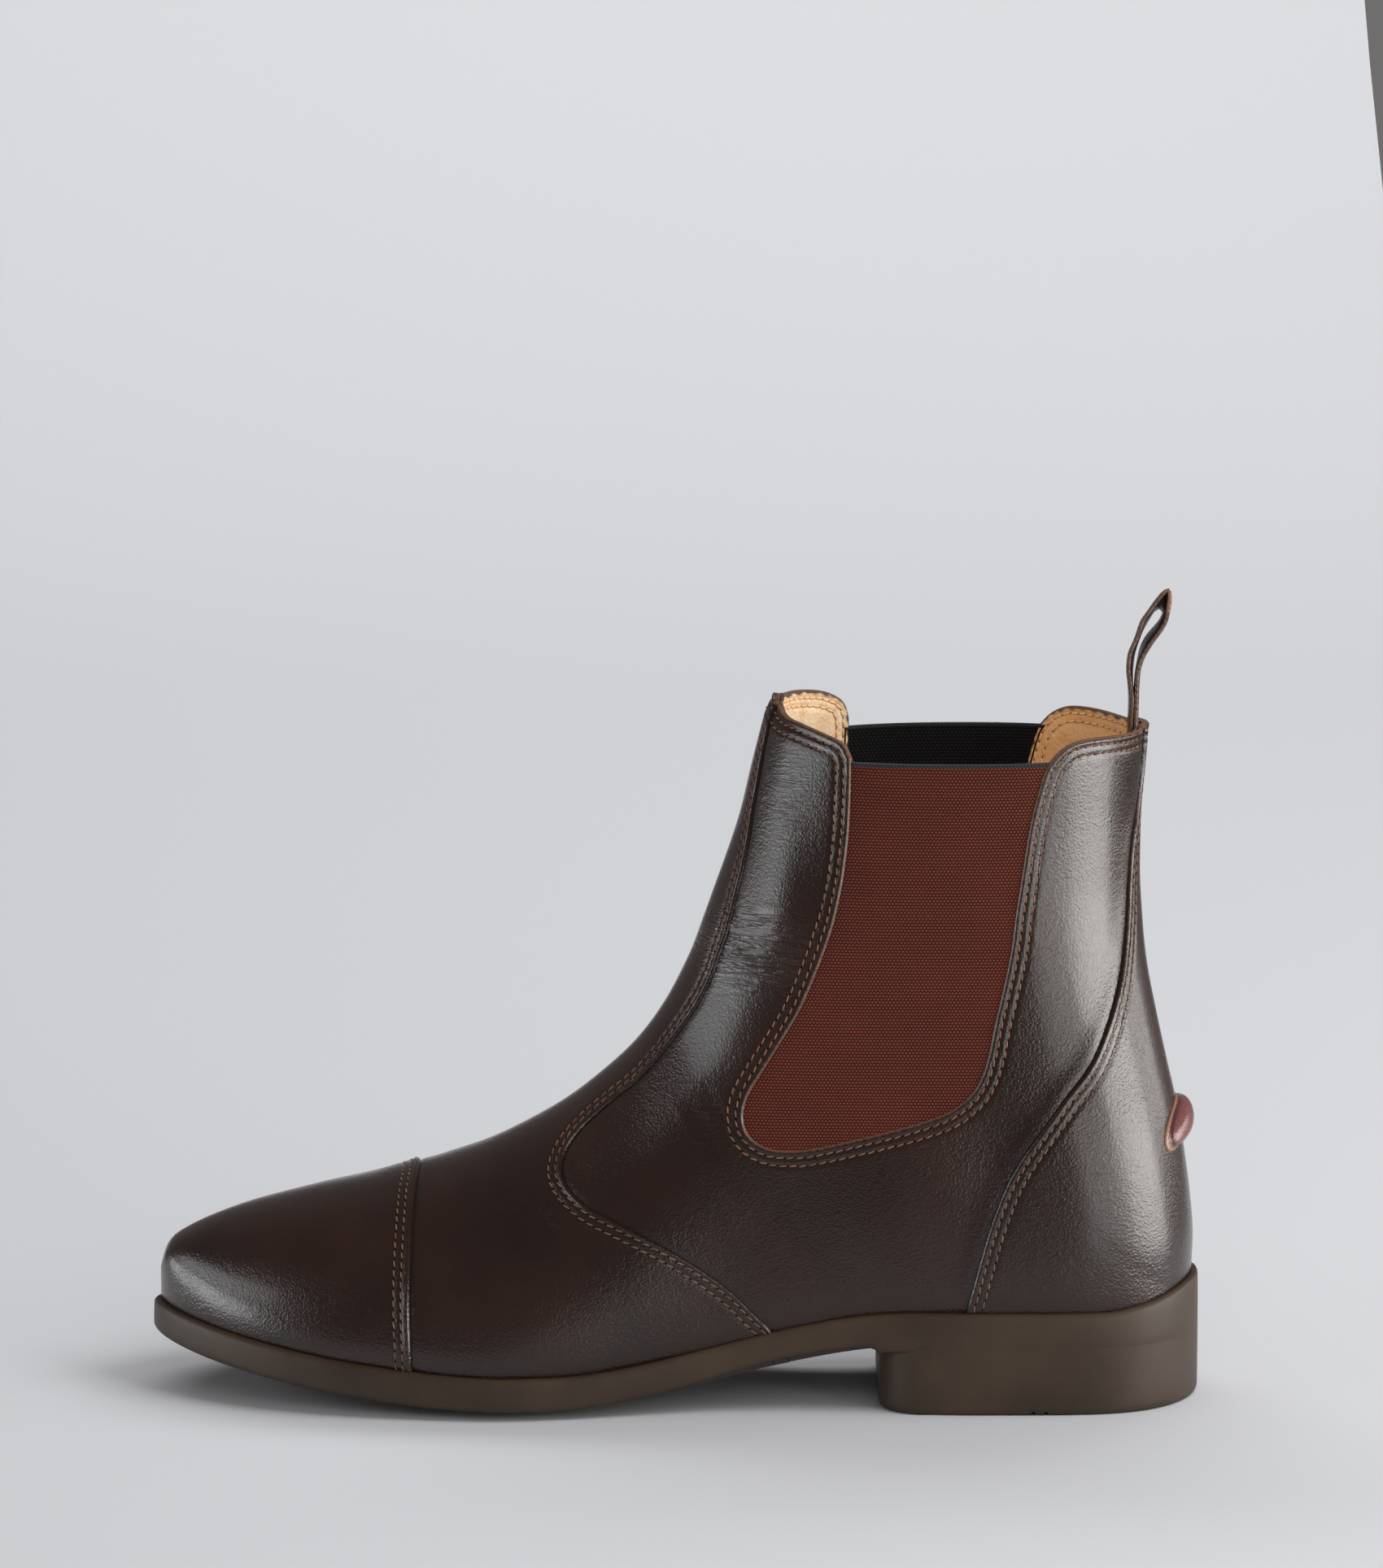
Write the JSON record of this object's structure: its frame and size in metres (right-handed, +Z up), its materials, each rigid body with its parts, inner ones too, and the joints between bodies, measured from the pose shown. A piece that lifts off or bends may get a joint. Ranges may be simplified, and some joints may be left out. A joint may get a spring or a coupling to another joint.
{
  "type": "paddock boot",
  "caption": "Left ankle-high leather boot with a toe cap, elastic side gores, a heel pull loop and a one-piece sole with a low heel.",
  "frame": {"origin": "middle of the boot's footprint box, on the floor it stands on", "axes": "+Z up, toe towards -X, heel towards +X, outer (lateral) side towards -Y, inner side towards +Y"},
  "size_m": [0.2754, 0.091, 0.213],
  "materials": {
    "upper_leather": "smooth dark brown leather, semi-gloss with a fine grain",
    "rest_leather": "padded reddish brown leather, satin",
    "lining_leather": "tan lining leather, matte",
    "elastic": "woven burgundy-brown elastic",
    "loop_tape": "thin leather tape, dark face and brown edges",
    "sole_rubber": "moulded olive-brown rubber, satin"
  },
  "bodies": {
    "root": {"outsole": "sole_rubber", "insole": "lining_leather", "upper": "upper_leather", "toe_cap": "upper_leather", "backstay": "upper_leather", "gore_lateral": "elastic", "gore_medial": "elastic", "pull_loop": "loop_tape", "spur_rest": "rest_leather"}
  },
  "joints": []
}
